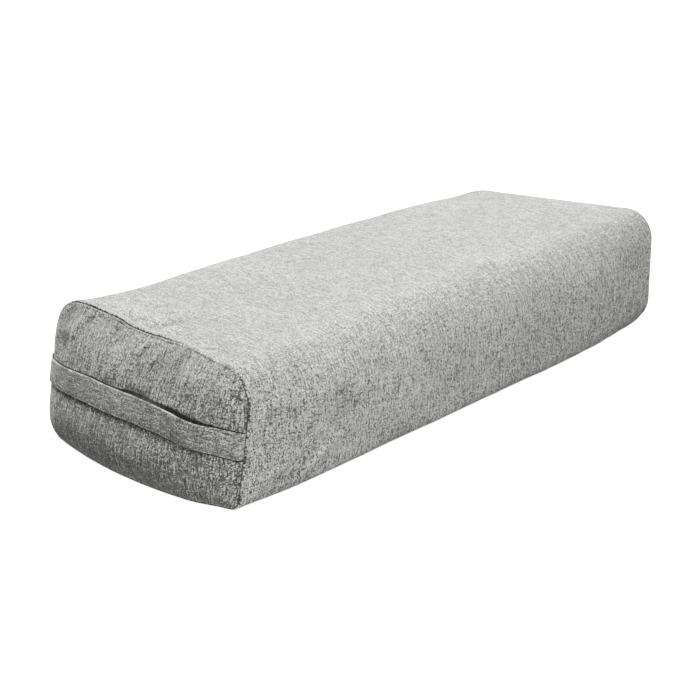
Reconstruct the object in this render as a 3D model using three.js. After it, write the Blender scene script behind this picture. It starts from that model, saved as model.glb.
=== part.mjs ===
// Rectangular yoga cushion: a filled wrap of heathered grey cloth, two end panels and a carrying strap.
// Millimetres. X runs along the cushion, -Y is its front long side, +Z is up, and it lies on Z = 0.
import * as THREE from "three";

// The filled wrap, away from its ends
const SEAM_LENGTH = 604;
const WIDTH = 268;
const HEIGHT = 125.5;
const TOP_CROWN = 3;
const SIDE_SWELL = 5.9;
const TOP_EDGE_RADIUS = 41.5;
const BOTTOM_EDGE_RADIUS = 18.5;

// How the section runs in from the end seams
const WIDTH_RUN = 184;
const HEIGHT_RUN = 27;
const RUN_POWER = 2.2;

// How far the leaning, bowing and twisting of an end reach along the cushion
const END_REACH = 250;
const END_REACH_POWER = 1.5;

// How closely the swelling and the bows keep to the middle of their own face
const FACE_POWER = 4;
const SIDE_BOW_POWER = 6;

// The rolled cloth edge beside each end seam
const SEAM_ROLL = 2.5;

// Cloth thicknesses, and the room that sewn pieces keep between them
const PANEL_CLOTH = 1.8;
const STRAP_CLOTH = 2.2;
const PIECE_GAP = 0.5;

// The two ends: the seam outline, how it leans and bows, and how the panel in it bulges
const NEAR = {
  side: -1, width: 260, height: 128.7, lift: 0.3,
  corners: { bottomFront: 17, bottomBack: 28.5, topBack: 37, topFront: 38 },
  topSetBack: 9.6, skew: -1.6, twist: 4.9,
  bottomBow: 18.4, topBow: 3.3, topDip: 4.7, sideBow: 2.5,
  bulge: 16.3, bulgeFlatness: 0.13, belly: 7.2, bellyHeight: 21.5, bellyToBack: 0.5,
};
const FAR = {
  side: 1, width: 256.6, height: 125, lift: 1.9,
  corners: { bottomFront: 24, bottomBack: 30, topBack: 37.5, topFront: 32 },
  topSetBack: 3.1, skew: -6.4, twist: -7.3,
  bottomBow: 2.9, topBow: 1.4, topDip: 0, sideBow: 0.9,
  bulge: 14.2, bulgeFlatness: 0.13, belly: 4, bellyHeight: 24, bellyToBack: 0,
};
const BULGE_POWER = 2.3;
const BELLY_POWER = 5;
const BELLY_SPREAD = 32;
const BELLY_FLATNESS = 0.6;

// A shallow sag of the top behind the near seam, deeper at the back
const SAG = { depth: 5, inset: 99, spread: 102, frontShare: 0.43 };

// Soft dents in the near panel: place across and up the panel from -1 to 1, half sizes, and depth
const DENTS = [
  { across: 0.78, up: 0.35, halfWidth: 0.12, halfHeight: 0.45, depth: 1.8 },
  { across: 0.48, up: 0.60, halfWidth: 0.10, halfHeight: 0.50, depth: 2.0 },
  { across: -0.06, up: 0.72, halfWidth: 0.13, halfHeight: 0.34, depth: 2.6 },
  { across: -0.10, up: 0.26, halfWidth: 0.20, halfHeight: 0.16, depth: 3.2 },
  { across: -0.62, up: 0.16, halfWidth: 0.16, halfHeight: 0.14, depth: 2.4 },
  { across: -0.94, up: 0.62, halfWidth: 0.08, halfHeight: 0.12, depth: 1.8 },
];

// The strap: its line up the near panel from -1 to 1, its height, and how far its edges stand off
const STRAP = {
  middle: -0.027, tilt: 0.004, arch: 0.136, height: 25.5,
  lowerStandOff: 2.2, upperStandOff: 11, standOffToFront: 0.44, edgeRound: 0.5, seamInset: 0.003,
};

// Mesh steps
const STEPS_ACROSS = 28;
const STEPS_UP = 14;
const STRAP_STEPS = 44;
const STATION_INSETS = [0, 0.9, 3, 9, 20, 38, 62, 92, 130, 178, 240];

const CLOTH = { color: 0x9c9c97, roughness: 0.92, metalness: 0 };
const STRAP_COLOUR = 0x94948f;

// The value that lies the given share of the way from a to b
function mix(a, b, share) {
  return a + (b - a) * share;
}

// 0 at an end seam, rising to 1 once the inset reaches the run
function runIn(inset, run) {
  return 1 - (1 - Math.min(inset / run, 1)) ** RUN_POWER;
}

// 1 at an end seam, fading to 0 at END_REACH
function endShare(inset) {
  return Math.max(1 - inset / END_REACH, 0) ** END_REACH_POWER;
}

// A rounded bump: 1 at the middle, near 0 beyond one and a half half-sizes
function bump(offset, halfSize) {
  return Math.exp(-((offset / halfSize) ** 2));
}

// The section's half width, top, bottom and corner radii at a length along X
function sectionAt(x) {
  const end = x < 0 ? NEAR : FAR;
  const inset = SEAM_LENGTH / 2 - Math.abs(x);
  const wide = runIn(inset, WIDTH_RUN);
  const high = runIn(inset, HEIGHT_RUN);
  const rollLeft = Math.max(SEAM_ROLL - inset, 0);
  const tuck = SEAM_ROLL - Math.sqrt(SEAM_ROLL ** 2 - rollLeft ** 2);
  const radius = (name, edge) => Math.max(mix(end.corners[name], edge, wide) - tuck, 1);
  return {
    end, inset, wide, high,
    half: mix(end.width, WIDTH, wide) / 2 - tuck,
    top: mix(end.lift + end.height, HEIGHT, high) - tuck,
    bottom: mix(end.lift, 0, high) + tuck,
    bottomFront: radius("bottomFront", BOTTOM_EDGE_RADIUS),
    bottomBack: radius("bottomBack", BOTTOM_EDGE_RADIUS),
    topBack: radius("topBack", TOP_EDGE_RADIUS),
    topFront: radius("topFront", TOP_EDGE_RADIUS),
  };
}

// A point along one side of a rounded rectangle, from the middle of one corner to that of the next
function sidePoint(length, firstRadius, lastRadius, share) {
  const firstArc = firstRadius * Math.PI / 4;
  const lastArc = lastRadius * Math.PI / 4;
  const straight = length - firstRadius - lastRadius;
  let run = share * (firstArc + straight + lastArc);
  if (run < firstArc) {
    const angle = Math.PI / 4 - run / firstRadius;
    return [firstRadius * (1 - Math.sin(angle)), firstRadius * (1 - Math.cos(angle))];
  }
  run -= firstArc;
  if (run < straight) {
    return [firstRadius + run, 0];
  }
  const angle = (run - straight) / lastRadius;
  return [length - lastRadius * (1 - Math.sin(angle)), lastRadius * (1 - Math.cos(angle))];
}

// The flat outline of a section: along the bottom, up the back, along the top and down the front
function outlinePoint(section, side, share) {
  const span = 2 * section.half;
  const rise = section.top - section.bottom;
  if (side === "bottom") {
    const [along, inward] = sidePoint(span, section.bottomFront, section.bottomBack, share);
    return [-section.half + along, section.bottom + inward];
  }
  if (side === "back") {
    const [along, inward] = sidePoint(rise, section.bottomBack, section.topBack, share);
    return [section.half - inward, section.bottom + along];
  }
  if (side === "top") {
    const [along, inward] = sidePoint(span, section.topBack, section.topFront, share);
    return [section.half - along, section.top - inward];
  }
  const [along, inward] = sidePoint(rise, section.topFront, section.bottomFront, share);
  return [-section.half + inward, section.top - along];
}

// A point on the filled wrap, with its crown, swelling, leaning ends and sag
function wrapPoint(x, side, share) {
  const section = sectionAt(x);
  const { end, inset, wide, high } = section;
  const [flatY, flatZ] = outlinePoint(section, side, share);
  const middle = (section.top + section.bottom) / 2;
  const across = flatY / section.half;
  const up = (flatZ - middle) / ((section.top - section.bottom) / 2);
  const upper = Math.max(up, 0);
  const lower = Math.max(-up, 0);
  const near = endShare(inset);
  const bow = 1 - across ** 2;

  const y = flatY + Math.sign(flatY) * SIDE_SWELL * wide * (1 - up ** 2) * Math.abs(across) ** FACE_POWER;
  let z = flatZ + TOP_CROWN * high * bow * upper;
  z += end.twist * near * across * (up + 1) / 2;
  z -= end.topDip * near * bow * upper ** FACE_POWER;
  if (end === NEAR) {
    const backShare = mix(SAG.frontShare, 1, ((across + 1) / 2) ** 2);
    z -= SAG.depth * bump(inset - SAG.inset, SAG.spread) * backShare * (Math.max(z, 0) / HEIGHT) ** 2;
  }

  const setBack = end.topSetBack * up
    + end.topBow * bow * upper ** FACE_POWER
    - end.bottomBow * bow * lower ** FACE_POWER
    + end.sideBow * (1 - up ** 2) * Math.abs(across) ** SIDE_BOW_POWER;
  const shiftedX = x + end.skew * near * across - end.side * near * setBack;
  return new THREE.Vector3(shiftedX, y, z);
}

// Side and share of every point round a section, starting at the bottom front corner
function ringPlaces() {
  const places = [];
  const sides = [
    ["bottom", STEPS_ACROSS], ["back", STEPS_UP], ["top", STEPS_ACROSS], ["front", STEPS_UP],
  ];
  for (const [side, steps] of sides) {
    for (let step = 0; step < steps; step += 1) {
      places.push([side, step / steps]);
    }
  }
  return places;
}

// A point of the surface that spans an end seam, across and up from -1 to 1, before it bulges
function seamSurfacePoint(end, across, up) {
  const x = end.side * SEAM_LENGTH / 2;
  const u = (across + 1) / 2;
  const v = (up + 1) / 2;
  const point = new THREE.Vector3();
  point.addScaledVector(wrapPoint(x, "bottom", u), 1 - v);
  point.addScaledVector(wrapPoint(x, "top", 1 - u), v);
  point.addScaledVector(wrapPoint(x, "front", 1 - v), 1 - u);
  point.addScaledVector(wrapPoint(x, "back", v), u);
  point.addScaledVector(wrapPoint(x, "bottom", 0), -(1 - u) * (1 - v));
  point.addScaledVector(wrapPoint(x, "back", 0), -u * (1 - v));
  point.addScaledVector(wrapPoint(x, "top", 0), -u * v);
  point.addScaledVector(wrapPoint(x, "front", 0), -(1 - u) * v);
  return point;
}

// How far an end bulges at a place across and up it, with the near panel's dents where asked
function bulgeAt(end, across, up, height, dented) {
  const edgeAcross = Math.min((1 - Math.abs(across)) * end.width / end.height, 1);
  const edgeUp = 1 - Math.abs(up);
  const rise = (power) => (1 - (1 - edgeAcross) ** power) * (1 - (1 - edgeUp) ** power);
  let bulge = end.bulge * rise(BULGE_POWER) * (1 - end.bulgeFlatness * across ** 2);
  bulge += end.belly * rise(BELLY_POWER) * (1 - BELLY_FLATNESS * across ** 2)
    * (1 + end.bellyToBack * across) * bump(height - end.bellyHeight, BELLY_SPREAD);
  if (end === NEAR && dented) {
    for (const dent of DENTS) {
      const place = bump(across - dent.across, dent.halfWidth) * bump(up - dent.up, dent.halfHeight);
      bulge -= dent.depth * place * rise(BULGE_POWER);
    }
  }
  return bulge;
}

// A point of an end surface, moved outwards by an offset
function endPoint(end, across, up, offset, dented = true) {
  const point = seamSurfacePoint(end, across, up);
  point.x += end.side * (bulgeAt(end, across, up, point.z, dented) + offset);
  return point;
}

// The points and faces of one closed surface
class Skin {
  constructor() {
    this.points = [];
    this.faces = [];
  }

  add(point) {
    this.points.push(point.x, point.y, point.z);
    return this.points.length / 3 - 1;
  }

  quad(a, b, c, d, flip = false) {
    if (flip) {
      this.faces.push(a, c, b, a, d, c);
    } else {
      this.faces.push(a, b, c, a, c, d);
    }
  }

  geometry() {
    const geometry = new THREE.BufferGeometry();
    geometry.setAttribute("position", new THREE.Float32BufferAttribute(this.points, 3));
    geometry.setIndex(this.faces);
    geometry.computeVertexNormals();
    return geometry;
  }
}

// The grid of point numbers over an end, with its rim taken from a ring where one is given
function addEndGrid(skin, end, offset, ring = null) {
  const grid = [];
  for (let row = 0; row <= STEPS_UP; row += 1) {
    grid.push([]);
    for (let column = 0; column <= STEPS_ACROSS; column += 1) {
      const rim = ring ? rimIndex(row, column) : null;
      if (rim !== null) {
        grid[row].push(ring[rim]);
      } else {
        const across = 2 * column / STEPS_ACROSS - 1;
        const up = 2 * row / STEPS_UP - 1;
        grid[row].push(skin.add(endPoint(end, across, up, offset)));
      }
    }
  }
  return grid;
}

// The place of a grid's rim point in the ring, or null inside the grid
function rimIndex(row, column) {
  if (row === 0 && column < STEPS_ACROSS) {
    return column;
  }
  if (column === STEPS_ACROSS && row < STEPS_UP) {
    return STEPS_ACROSS + row;
  }
  if (row === STEPS_UP && column > 0) {
    return 2 * STEPS_ACROSS + STEPS_UP - column;
  }
  if (column === 0 && row > 0) {
    return 2 * (STEPS_ACROSS + STEPS_UP) - row;
  }
  return null;
}

// The point numbers round a grid's rim, in the order of a ring
function rimOf(grid) {
  const rim = [];
  grid.forEach((row, rowNumber) => row.forEach((point, column) => {
    const place = rimIndex(rowNumber, column);
    if (place !== null) {
      rim[place] = point;
    }
  }));
  return rim;
}

// Faces over a grid, looking along +X, or along -X where flipped
function coverGrid(skin, grid, flip) {
  for (let row = 0; row < STEPS_UP; row += 1) {
    for (let column = 0; column < STEPS_ACROSS; column += 1) {
      const below = grid[row];
      const above = grid[row + 1];
      skin.quad(below[column], below[column + 1], above[column + 1], above[column], flip);
    }
  }
}

// Faces between two rings of points
function joinRings(skin, first, second, flip) {
  for (let place = 0; place < first.length; place += 1) {
    const next = (place + 1) % first.length;
    skin.quad(first[place], first[next], second[next], second[place], flip);
  }
}

// The filled wrap, closed at both ends under the end panels
function filledWrap() {
  const skin = new Skin();
  const half = SEAM_LENGTH / 2;
  const insets = [...STATION_INSETS, half];
  const stations = insets.map((inset) => inset - half);
  stations.push(...insets.slice(0, -1).reverse().map((inset) => half - inset));
  const places = ringPlaces();
  const rings = stations.map((x) => places.map(([side, share]) => skin.add(wrapPoint(x, side, share))));
  for (let station = 1; station < rings.length; station += 1) {
    joinRings(skin, rings[station - 1], rings[station], false);
  }
  coverGrid(skin, addEndGrid(skin, NEAR, 0, rings[0]), true);
  coverGrid(skin, addEndGrid(skin, FAR, 0, rings[rings.length - 1]), false);
  return skin.geometry();
}

// One end panel: a sheet of cloth over the filling's end, from seam to seam
function endPanel(end) {
  const skin = new Skin();
  const inner = addEndGrid(skin, end, PIECE_GAP);
  const outer = addEndGrid(skin, end, PIECE_GAP + PANEL_CLOTH);
  const flip = end === NEAR;
  coverGrid(skin, outer, flip);
  coverGrid(skin, inner, !flip);
  joinRings(skin, rimOf(inner), rimOf(outer), flip);
  return skin.geometry();
}

// A point of the strap: along it from -1 at the front seam to 1 at the back one, up it from -1 to 1
function strapPoint(along, edge, depth) {
  const slack = (1 - along ** 2) * (1 - STRAP.standOffToFront * along);
  const middle = STRAP.middle + STRAP.tilt * along + STRAP.arch * (1 - along ** 2);
  const up = middle + edge * STRAP.height / NEAR.height;
  const standOff = mix(STRAP.lowerStandOff, STRAP.upperStandOff, (edge + 1) / 2) * slack;
  return endPoint(NEAR, along, up, 2 * PIECE_GAP + PANEL_CLOTH + standOff + depth, false);
}

// The handle strap: a band with folded edges, closed at both side seams
function handleStrap() {
  const skin = new Skin();
  const fold = 1 + STRAP.edgeRound / STRAP.height;
  const section = [
    [-1, 0], [-fold, STRAP_CLOTH / 2], [-1, STRAP_CLOTH], [0, STRAP_CLOTH],
    [1, STRAP_CLOTH], [fold, STRAP_CLOTH / 2], [1, 0], [0, 0],
  ];
  const reach = 1 - STRAP.seamInset;
  const rings = [];
  for (let step = 0; step <= STRAP_STEPS; step += 1) {
    const along = mix(-reach, reach, step / STRAP_STEPS);
    rings.push(section.map(([edge, depth]) => skin.add(strapPoint(along, edge, depth))));
  }
  for (let step = 0; step < STRAP_STEPS; step += 1) {
    joinRings(skin, rings[step], rings[step + 1], false);
  }
  const closeEnd = (ring, flip) => {
    skin.quad(ring[0], ring[1], ring[2], ring[3], flip);
    skin.quad(ring[0], ring[3], ring[4], ring[7], flip);
    skin.quad(ring[7], ring[4], ring[5], ring[6], flip);
  };
  closeEnd(rings[0], true);
  closeEnd(rings[STRAP_STEPS], false);
  return skin.geometry();
}

// A named cloth piece with its own material
function clothPiece(name, geometry, finish) {
  const mesh = new THREE.Mesh(geometry, new THREE.MeshStandardMaterial(finish));
  mesh.name = name;
  return mesh;
}

const cushion = new THREE.Group();
cushion.add(
  clothPiece("filled_wrap", filledWrap(), CLOTH),
  clothPiece("end_panel_near", endPanel(NEAR), CLOTH),
  clothPiece("end_panel_far", endPanel(FAR), CLOTH),
  clothPiece("handle_strap", handleStrap(), { ...CLOTH, color: STRAP_COLOUR }),
);

// The origin sits under the middle of the whole cushion
const extent = new THREE.Box3().setFromObject(cushion);
cushion.position.x = -(extent.min.x + extent.max.x) / 2;

export default cushion;
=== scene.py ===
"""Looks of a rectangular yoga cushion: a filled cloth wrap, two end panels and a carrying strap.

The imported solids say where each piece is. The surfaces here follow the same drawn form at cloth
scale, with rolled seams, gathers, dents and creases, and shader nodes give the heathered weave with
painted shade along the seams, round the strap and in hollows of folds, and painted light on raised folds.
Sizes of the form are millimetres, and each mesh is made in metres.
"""

import logging
import math
from dataclasses import dataclass
from enum import Enum
from typing import Any

import bpy
import numpy as np
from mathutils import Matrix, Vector


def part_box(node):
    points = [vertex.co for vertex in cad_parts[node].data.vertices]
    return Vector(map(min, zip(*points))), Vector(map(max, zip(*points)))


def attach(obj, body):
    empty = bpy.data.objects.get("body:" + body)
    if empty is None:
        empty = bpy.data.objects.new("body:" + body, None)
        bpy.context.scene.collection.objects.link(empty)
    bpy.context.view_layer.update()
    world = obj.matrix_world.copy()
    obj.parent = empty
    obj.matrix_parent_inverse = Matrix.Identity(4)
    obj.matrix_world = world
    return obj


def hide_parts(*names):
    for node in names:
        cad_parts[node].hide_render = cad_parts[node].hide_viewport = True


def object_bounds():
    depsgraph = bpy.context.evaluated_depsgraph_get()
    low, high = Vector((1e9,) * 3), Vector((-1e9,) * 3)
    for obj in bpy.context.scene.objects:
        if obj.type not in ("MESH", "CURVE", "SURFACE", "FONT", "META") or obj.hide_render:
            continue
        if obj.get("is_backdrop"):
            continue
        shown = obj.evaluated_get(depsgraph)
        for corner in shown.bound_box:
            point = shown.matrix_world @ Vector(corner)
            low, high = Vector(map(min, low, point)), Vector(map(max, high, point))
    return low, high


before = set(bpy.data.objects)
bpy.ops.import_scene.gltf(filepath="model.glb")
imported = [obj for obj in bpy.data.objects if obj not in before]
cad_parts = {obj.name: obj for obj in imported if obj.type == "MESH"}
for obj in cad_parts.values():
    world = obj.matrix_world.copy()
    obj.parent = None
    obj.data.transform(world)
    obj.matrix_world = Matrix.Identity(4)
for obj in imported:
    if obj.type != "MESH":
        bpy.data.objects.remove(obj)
CAD_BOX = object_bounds()

Array = np.ndarray
Socket = bpy.types.NodeSocket
MM = 0.001
CLOTH_MAP = "cloth"
ATTRIBUTES = ("seam_shade", "strap_closeness", "fold_height")
HALF_DIAGONAL = math.sqrt(0.5)
PANEL_SEAM_FADE = (0.05, 0.09)
LOG = logging.getLogger("cushion")


class YarnRun(Enum):
    """Which way the main yarns of a cut piece run in its cloth map."""

    UP_THE_MAP = 0.0
    ALONG_THE_MAP = math.pi / 2


@dataclass(frozen=True)
class SeamPull:
    """A stretch of an end seam that the sewing draws aside, with the cloth beside it."""

    place: float
    half_size: float
    offset: tuple[float, float, float]
    reach: float

    def at(self, place: Array, inset: Array) -> Array:
        """How far points move, at a place round the section and an inset from the end seam."""
        share = bump_round(place, self.place, self.half_size) * bump(inset, self.reach)
        return share[..., None] * np.array(self.offset)


@dataclass(frozen=True)
class EndShape:
    """One end: its seam outline, how it leans and bows, and how the panel in it bulges."""

    side: int
    width: float
    height: float
    lift: float
    corners: tuple[float, float, float, float]
    top_set_back: float
    skew: float
    twist: float
    bottom_bow: float
    top_bow: float
    top_dip: float
    side_bow: float
    sag: float
    bulge: float
    belly: float
    belly_height: float
    belly_to_back: float
    pulls: tuple[SeamPull, ...] = ()
    soft_place: float = 0.0
    soft_size: float = 0.0
    soft_share: float = 0.0

    def seam_share(self, place: Array) -> Array:
        """How deep the seam lies.

        Args:
            place: place round the section, from 0 to 4.

        Returns:
            The share of the seam's full depth, less where it lies soft.
        """
        if not self.soft_size:
            return np.ones_like(place)
        return 1 - self.soft_share * bump_round(place, self.soft_place, self.soft_size)


NEAR = EndShape(
    side=-1, width=260.0, height=128.7, lift=0.3, corners=(9.0, 28.5, 33.0, 36.0),
    top_set_back=9.6, skew=-1.6, twist=4.9, bottom_bow=18.4, top_bow=3.3, top_dip=4.7,
    side_bow=2.5, sag=5.0, bulge=16.3, belly=7.2, belly_height=21.5, belly_to_back=0.5,
    pulls=(
        SeamPull(3.55, 0.62, (0, 5.6, 0), 52),
        SeamPull(0, 0.14, (0, 0, 2), 34),
        SeamPull(2.96, 0.19, (0, 1.5, -4.2), 22),
        SeamPull(2.22, 0.14, (0, 0, 1.8), 16),
        SeamPull(2.44, 0.09, (0, 0, -1.6), 14),
        SeamPull(1.93, 0.16, (0, -2, -2), 24),
    ),
    soft_place=2.80, soft_size=0.17, soft_share=0.7,
)
FAR = EndShape(
    side=1, width=256.6, height=125.0, lift=1.9, corners=(31.0, 30.0, 37.5, 32.0),
    top_set_back=3.1, skew=-6.4, twist=-7.3, bottom_bow=2.9, top_bow=1.4, top_dip=0.0,
    side_bow=0.9, sag=0.0, bulge=14.2, belly=4.0, belly_height=24.0, belly_to_back=0.0,
)


def mix(first: Any, last: Any, share: Any) -> Any:
    """The value that lies the given share of the way from first to last."""
    return first + (last - first) * share


def bump(offset: Any, half_size: float) -> Any:
    """A rounded bump: 1 at the middle, near 0 beyond one and a half half sizes."""
    return np.exp(-((offset / half_size) ** 2))


def bump_round(place: Array, middle: float, half_size: float) -> Array:
    """A flat-topped bump round the section: 1 at its middle, near 0 beyond its half size."""
    away = (place - middle + 2) % 4 - 2
    return np.exp(-((away / half_size) ** 4))


def fade(value: Any, start: float, end: float) -> Any:
    """0 at start, 1 at end, and an even turn between."""
    share = np.clip((value - start) / (end - start), 0.0, 1.0)
    return share * share * (3.0 - 2.0 * share)


def soft_noise(across: Array, along: Array, seed: int) -> Array:
    """Smooth seeded noise from -1 to 1 over a plane.

    Args:
        across: place across the plane, in noise cells.
        along: place along the plane, in noise cells.
        seed: number that picks the noise.

    Returns:
        One value for each place.
    """
    cells = 64
    lattice = np.random.default_rng(seed).uniform(-1.0, 1.0, (cells, cells))
    column, row = np.floor(across).astype(int), np.floor(along).astype(int)
    right, up = fade(across - column, 0.0, 1.0), fade(along - row, 0.0, 1.0)
    value = lambda i, j: lattice[(row + j) % cells, (column + i) % cells]
    return mix(mix(value(0, 0), value(1, 0), right), mix(value(0, 1), value(1, 1), right), up)


@dataclass(frozen=True)
class CushionForm:
    """The drawn form of the filled cushion, from its driving sizes."""

    seam_length: float = 604.0
    width: float = 268.0
    height: float = 125.5
    top_crown: float = 3.0
    side_swell: float = 5.9
    top_edge: float = 41.5
    bottom_edge: float = 18.5
    width_run: float = 184.0
    height_run: float = 27.0
    run_power: float = 2.2
    end_reach: float = 250.0
    end_reach_power: float = 1.5
    face_power: float = 4.0
    side_bow_power: float = 6.0
    sag_inset: float = 99.0
    sag_spread: float = 102.0
    sag_front_share: float = 0.43
    bulge_power: float = 2.3
    bulge_flatness: float = 0.13
    belly_power: float = 5.0
    belly_spread: float = 32.0
    belly_flatness: float = 0.6

    def run_in(self, inset: Array, run: float) -> Array:
        """0 at an end seam, rising to 1 once the inset reaches the run."""
        return 1.0 - (1.0 - np.clip(inset / run, 0.0, 1.0)) ** self.run_power

    def wrap(self, end: EndShape, inset: Array, place: Array, tuck: Array) -> Array:
        """Points of the filled wrap.

        Args:
            end: the end that the insets start from.
            inset: distance from the end seam along the cushion.
            place: place round the section, from 0 to 4 over its bottom, back, top and front.
            tuck: how far the surface lies inside the outer one.

        Returns:
            Points with the last axis x, y and z.
        """
        inside = np.maximum(inset, 0.0)
        tuck = tuck * end.seam_share(place)
        wide, high = self.run_in(inside, self.width_run), self.run_in(inside, self.height_run)
        half = mix(end.width, self.width, wide) / 2 - tuck
        top = mix(end.lift + end.height, self.height, high) - tuck
        bottom = mix(end.lift, 0.0, high) + tuck
        edges = (self.bottom_edge, self.bottom_edge, self.top_edge, self.top_edge)
        drawn = (mix(seam, edge, wide) for seam, edge in zip(end.corners, edges))
        radii = [np.maximum(radius - tuck, 1.0) for radius in drawn]
        side = np.floor(place).astype(int) % 4
        first, last = np.choose(side, radii), np.choose(side, radii[1:] + radii[:1])
        span = np.where(side % 2 == 0, 2 * half, top - bottom)
        along, inward = self.side_point(span, first, last, place - np.floor(place))
        y = np.choose(side, [along - half, half - inward, half - along, inward - half])
        z = np.choose(side, [bottom + inward, bottom + along, top - inward, top - along])
        points = self.shaped(end, inset, y, z, (half, top, bottom, wide, high))
        place, inside = np.broadcast_arrays(place, inside)
        return points + sum((pull.at(place, inside) for pull in end.pulls), np.zeros(points.shape))

    def side_point(self, length: Array, first: Array, last: Array, share: Array) -> tuple[Array, Array]:
        """Where a share of one rounded side lies, from the middle of one corner to that of the next.

        Args:
            length: the side's length between its square corners.
            first: radius of the first corner.
            last: radius of the last corner.
            share: share of the way along the side.

        Returns:
            The distance along the side, and the distance inwards from it.
        """
        first_arc, last_arc = first * math.pi / 4, last * math.pi / 4
        straight = length - first - last
        run = share * (first_arc + straight + last_arc)
        in_first, in_straight = run < first_arc, run < first_arc + straight
        turn = math.pi / 4 - run / first
        end_turn = (run - first_arc - straight) / last
        along = np.where(in_first, first * (1 - np.sin(turn)), first + run - first_arc)
        along = np.where(in_straight, along, length - last * (1 - np.sin(end_turn)))
        inward = np.where(in_first, first * (1 - np.cos(turn)), 0.0)
        return along, np.where(in_straight, inward, last * (1 - np.cos(end_turn)))

    def shaped(self, end: EndShape, inset: Array, y: Array, z: Array, section: tuple) -> Array:
        """A flat section's points with crown, swelling, leaning ends and sag.

        Args:
            end: the end that the insets start from.
            inset: distance from the end seam along the cushion.
            y: place across the flat section.
            z: height on the flat section.
            section: half width, top, bottom, and the two run-in shares.

        Returns:
            Points with the last axis x, y and z.
        """
        half, top, bottom, wide, high = section
        across = y / half
        up = (z - (top + bottom) / 2) / ((top - bottom) / 2)
        upper, lower, bow = np.maximum(up, 0.0), np.maximum(-up, 0.0), 1 - across**2
        near = np.maximum(1 - np.maximum(inset, 0.0) / self.end_reach, 0.0) ** self.end_reach_power
        swell = self.side_swell * wide * (1 - up**2) * np.abs(across) ** self.face_power
        raised = z + self.top_crown * high * bow * upper + end.twist * near * across * (up + 1) / 2
        raised = raised - end.top_dip * near * bow * upper**self.face_power
        back_share = mix(self.sag_front_share, 1.0, ((across + 1) / 2) ** 2)
        sag = end.sag * bump(inset - self.sag_inset, self.sag_spread) * back_share
        raised = raised - sag * (np.maximum(raised, 0.0) / self.height) ** 2
        set_back = (
            end.top_set_back * up
            + end.top_bow * bow * upper**self.face_power
            - end.bottom_bow * bow * lower**self.face_power
            + end.side_bow * (1 - up**2) * np.abs(across) ** self.side_bow_power
        )
        x = end.side * (self.seam_length / 2 - inset - near * set_back) + end.skew * near * across
        return np.stack(np.broadcast_arrays(x, y + np.sign(y) * swell, raised), -1)

    def bulge(self, end: EndShape, across: Array, up: Array, height: Array) -> Array:
        """How far an end stands out beyond its seam surface.

        Args:
            end: the end.
            across: place across the panel, from -1 at the front to 1 at the back.
            up: place up the panel, from -1 to 1.
            height: height above the floor.

        Returns:
            The distance outwards along the cushion.
        """
        edge_across = np.minimum((1 - np.abs(across)) * end.width / end.height, 1.0)
        edge_up = 1 - np.abs(up)
        rise = lambda power: (1 - (1 - edge_across) ** power) * (1 - (1 - edge_up) ** power)
        belly = end.belly * rise(self.belly_power) * (1 - self.belly_flatness * across**2)
        belly = belly * (1 + end.belly_to_back * across)
        belly = belly * bump(height - end.belly_height, self.belly_spread)
        return end.bulge * rise(self.bulge_power) * (1 - self.bulge_flatness * across**2) + belly


@dataclass(frozen=True)
class SeamRoll:
    """How cloth turns into a plain seam: over the edge and down until it meets the other piece."""

    depth: float = 2.5
    steps: int = 8

    def profile(self) -> tuple[Array, Array]:
        """The roll, step by step from the seam outwards.

        Returns:
            Distances above the seam, and distances away from it.
        """
        turn = np.linspace(0.75 * math.pi, 0.0, self.steps + 1)
        rise = (np.cos(turn) + HALF_DIAGONAL) / (1 + HALF_DIAGONAL)
        run = (HALF_DIAGONAL - np.sin(turn)) / (1 + HALF_DIAGONAL)
        return rise * self.depth, run * self.depth


@dataclass(frozen=True)
class Patch:
    """Steps of a four-sided grid and of the ring round it."""

    rows: int
    columns: int

    def places(self) -> Array:
        """Places round the section of the ring's points, from 0 to 4."""
        counts = (self.columns, self.rows, self.columns, self.rows)
        return np.concatenate([side + np.arange(count) / count for side, count in enumerate(counts)])

    def rim(self) -> tuple[Array, Array]:
        """Where the ring's points lie in the grid.

        Returns:
            Their rows and their columns, in the ring's order.
        """
        rows, columns = self.rows, self.columns
        up, back = np.arange(rows), np.arange(columns)
        row = np.concatenate([0 * back, up, rows + 0 * back, rows - up])
        column = np.concatenate([back, columns + 0 * up, columns - back, 0 * up])
        return row, column

    def span(self, ring: Array) -> Array:
        """A smooth surface over a ring of points.

        Args:
            ring: points of the ring, in order.

        Returns:
            Points of the grid, row by row.
        """
        rows, columns = self.rows, self.columns
        bottom, back = ring[: columns + 1], ring[columns : columns + rows + 1]
        top = ring[columns + rows : 2 * columns + rows + 1][::-1]
        front = np.concatenate([ring[2 * columns + rows :], ring[:1]])[::-1]
        u = np.linspace(0, 1, columns + 1)[None, :, None]
        v = np.linspace(0, 1, rows + 1)[:, None, None]
        sides = (bottom, back[:, None], top, front[:, None])
        return four_sided(sides, (bottom[0], bottom[-1], top[-1], top[0]), u, v)

    def grid(self) -> tuple[Array, Array]:
        """Places across and up the grid, from -1 to 1."""
        return np.meshgrid(np.linspace(-1, 1, self.columns + 1), np.linspace(-1, 1, self.rows + 1))


def four_sided(sides: tuple[Array, ...], corners: tuple[Array, ...], u: Array, v: Array) -> Array:
    """A smooth surface between four sides.

    Args:
        sides: points of the bottom, back, top and front.
        corners: the corners, from the bottom front one round by the bottom back one.
        u: share of the way from front to back.
        v: share of the way up.

    Returns:
        Points of the surface.
    """
    bottom, back, top, front = sides
    surface = (1 - v) * bottom + v * top + (1 - u) * front + u * back
    shares = ((1 - u) * (1 - v), u * (1 - v), u * v, (1 - u) * v)
    return surface - sum(share * corner for share, corner in zip(shares, corners))


def closed(grid: Array) -> Array:
    """A grid whose rows end with their first point again."""
    return np.concatenate([grid, grid[:, :1]], axis=1)


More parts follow.
